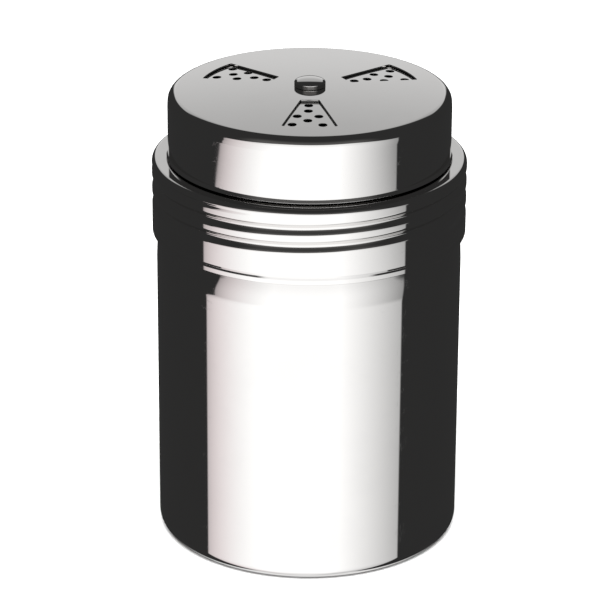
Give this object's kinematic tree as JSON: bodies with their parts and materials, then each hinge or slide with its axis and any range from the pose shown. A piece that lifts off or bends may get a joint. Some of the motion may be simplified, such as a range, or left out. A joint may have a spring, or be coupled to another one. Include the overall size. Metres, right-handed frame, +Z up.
{
  "type": "spice shaker",
  "caption": "Polished steel spice shaker: drawn can, stepped screw lid pierced with coarse and fine holes, and a windowed cap that turns on a riveted knob to choose them.",
  "frame": {"origin": "middle of the foot ring's flat underside, on the shaker's axis", "axes": "+Z up along the axis; -Y runs through the middle of the first window, towards the viewer"},
  "size_m": [0.0658, 0.0658, 0.1],
  "materials": {
    "can_steel": "mirror polished",
    "lid_steel": "mirror polished",
    "cap_steel": "mirror polished",
    "knob_steel": "polished",
    "spring_steel": "dull",
    "washer_steel": "satin",
    "seal_rubber": "matt"
  },
  "bodies": {
    "container": {"container_can": "can_steel"},
    "seal": {"lid_seal": "seal_rubber"},
    "lid": {"stepped_lid": "lid_steel", "pivot_knob": "knob_steel", "spring_washer": "spring_steel", "backing_washer": "washer_steel"},
    "dial": {"selector_cap": "cap_steel"}
  },
  "joints": [
    {"name": "lid_lift", "type": "slide", "parent": "container", "child": "seal", "axis": [0, 0, 1], "range_m": [0, 0.01481]},
    {"name": "lid_turn", "type": "hinge", "parent": "seal", "child": "lid", "pos_m": [0, 0, 0.0671], "axis": [0, 0, 1], "range_deg": [0, 1440]},
    {"name": "dial_turn", "type": "hinge", "parent": "lid", "child": "dial", "pos_m": [0, 0, 0.0834], "axis": [0, 0, 1], "continuous": true}
  ],
  "couplings": [
    {"joint": "lid_lift", "follows": "lid_turn", "m_per_rad": 0.00058887}
  ]
}
